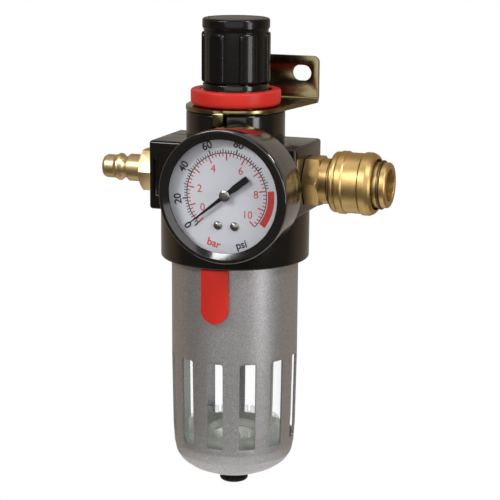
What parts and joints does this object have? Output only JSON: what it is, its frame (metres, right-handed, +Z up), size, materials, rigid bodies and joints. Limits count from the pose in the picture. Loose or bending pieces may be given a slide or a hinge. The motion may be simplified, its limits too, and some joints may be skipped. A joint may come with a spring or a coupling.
{
  "type": "air filter regulator",
  "caption": "Compressed air filter regulator with pressure gauge, guarded clear bowl, hose fittings and wall bracket, which cleans the air and sets its pressure.",
  "frame": {"origin": "centre of the rear face of the bracket's wall plate, at the height of its two screw holes", "axes": "+Y into the wall, +Z up along the regulator's upright axis, +X towards the outlet coupling"},
  "size_m": [0.1242, 0.0842, 0.1964],
  "materials": {
    "black_paint": "satin",
    "black_plastic": "satin",
    "gauge_black": "gloss",
    "red_plastic": "gloss",
    "brass": "polished",
    "steel": "polished",
    "zinc_plate": "yellow zinc",
    "silver_paint": "fine metallic",
    "rubber": "matte",
    "clear_plastic": "clear",
    "white_plastic": "matte",
    "sintered": "porous",
    "dial_white": "matte",
    "needle_black": "matte"
  },
  "bodies": {
    "housing": {"body": "black_paint", "bonnet": "black_paint", "panel_nut": "red_plastic", "bracket": "zinc_plate", "diaphragm": "rubber", "regulating_spring": "steel", "poppet_spring": "steel", "valve_guide": "white_plastic", "whirl_vanes": "white_plastic", "filter_element": "sintered", "filter_baffle": "white_plastic", "gauge_case": "gauge_black", "gauge_bezel": "gauge_black", "gauge_lens": "clear_plastic", "gauge_dial": "dial_white", "dial_screw_left": "steel", "dial_screw_right": "steel", "gauge_stem": "brass", "bourdon_tube": "brass", "movement_plate": "brass", "inlet_nipple": "brass", "coupling_adapter": "brass", "coupling_tube": "brass", "retaining_ring": "steel", "socket_seal": "rubber", "sleeve_spring": "steel", "coupling_valve_spring": "steel"},
    "screw": {"adjusting_screw": "steel"},
    "knob": {"knob": "black_plastic", "knob_cap": "black_plastic"},
    "seat": {"seat_nut": "brass"},
    "plate": {"diaphragm_plate": "steel"},
    "poppet": {"poppet": "brass", "poppet_seal": "rubber"},
    "needle": {"gauge_needle": "needle_black", "needle_hub": "steel", "pinion_spindle": "brass"},
    "sector": {"gauge_sector": "brass"},
    "bowl": {"bowl_guard": "silver_paint", "bowl": "clear_plastic", "bowl_seal": "rubber", "quiet_ring": "clear_plastic", "drain_body": "white_plastic", "drain_seal": "rubber"},
    "tab": {"release_tab": "red_plastic"},
    "drain_knob": {"drain_knob": "black_plastic"},
    "drain_stem": {"drain_stem": "steel"},
    "sleeve": {"coupling_sleeve": "brass"},
    "ball_1": {"lock_ball_1": "steel"},
    "ball_2": {"lock_ball_2": "steel"},
    "ball_3": {"lock_ball_3": "steel"},
    "coupling_valve": {"coupling_valve": "brass"}
  },
  "joints": [
    {"name": "pressure_turn", "type": "hinge", "parent": "housing", "child": "screw", "pos_m": [0, -0.032, 0.0105], "axis": [0, 0, -1], "range_deg": [0, 1800]},
    {"name": "knob_lift", "type": "slide", "parent": "screw", "child": "knob", "axis": [0, 0, 1], "range_m": [0, 0.0025]},
    {"name": "seat_travel", "type": "slide", "parent": "housing", "child": "seat", "axis": [0, 0, -1], "range_m": [0, 0.0063], "deforming": ["regulating_spring"]},
    {"name": "diaphragm_travel", "type": "slide", "parent": "housing", "child": "plate", "axis": [0, 0, -1], "range_m": [0, 0.001], "stiffness_N_per_m": 2000, "deforming": ["diaphragm"]},
    {"name": "poppet_travel", "type": "slide", "parent": "housing", "child": "poppet", "axis": [0, 0, -1], "range_m": [0, 0.001], "stiffness_N_per_m": 1000, "deforming": ["poppet_spring"]},
    {"name": "needle_turn", "type": "hinge", "parent": "housing", "child": "needle", "pos_m": [0.0139, -0.0842, -0.0389], "axis": [0, 1, 0], "range_deg": [0, 263], "stiffness_Nm_per_rad": 0.0005},
    {"name": "sector_turn", "type": "hinge", "parent": "housing", "child": "sector", "pos_m": [0.0056, -0.0842, -0.0389], "axis": [0, 1, 0], "range_deg": [-30.5, 0]},
    {"name": "bowl_turn", "type": "hinge", "parent": "housing", "child": "bowl", "pos_m": [0, -0.032, -0.0995], "axis": [0, 0, 1], "range_deg": [0, 45]},
    {"name": "tab_slide", "type": "slide", "parent": "bowl", "child": "tab", "axis": [0, 0, -1], "range_m": [0, 0.003], "stiffness_N_per_m": 300},
    {"name": "drain_turn", "type": "hinge", "parent": "bowl", "child": "drain_knob", "pos_m": [0, -0.032, -0.1695], "axis": [0, 0, -1], "range_deg": [0, 180]},
    {"name": "drain_stem_travel", "type": "slide", "parent": "bowl", "child": "drain_stem", "axis": [0, 0, 1], "range_m": [0, 0.00101]},
    {"name": "sleeve_slide", "type": "slide", "parent": "housing", "child": "sleeve", "axis": [-1, 0, 0], "range_m": [0, 0.003], "stiffness_N_per_m": 800, "deforming": ["sleeve_spring"]},
    {"name": "ball_1_travel", "type": "slide", "parent": "housing", "child": "ball_1", "axis": [0, 0, 1], "range_m": [0, 0.00091]},
    {"name": "ball_2_travel", "type": "slide", "parent": "housing", "child": "ball_2", "axis": [0, -0.866, -0.5], "range_m": [0, 0.00091]},
    {"name": "ball_3_travel", "type": "slide", "parent": "housing", "child": "ball_3", "axis": [0, 0.866, -0.5], "range_m": [0, 0.00091]},
    {"name": "coupling_valve_travel", "type": "slide", "parent": "housing", "child": "coupling_valve", "axis": [-1, 0, 0], "range_m": [0, 0.0025], "stiffness_N_per_m": 500, "deforming": ["coupling_valve_spring"]}
  ],
  "couplings": [
    {"joint": "seat_travel", "follows": "pressure_turn", "m_per_rad": 0.00019894},
    {"joint": "poppet_travel", "follows": "diaphragm_travel", "ratio": 1},
    {"joint": "sector_turn", "follows": "needle_turn", "ratio": -0.11111},
    {"joint": "drain_stem_travel", "follows": "drain_turn", "m_per_rad": 0.00031831},
    {"joint": "ball_1_travel", "follows": "sleeve_slide", "ratio": 0.3},
    {"joint": "ball_2_travel", "follows": "sleeve_slide", "ratio": 0.3},
    {"joint": "ball_3_travel", "follows": "sleeve_slide", "ratio": 0.3}
  ]
}
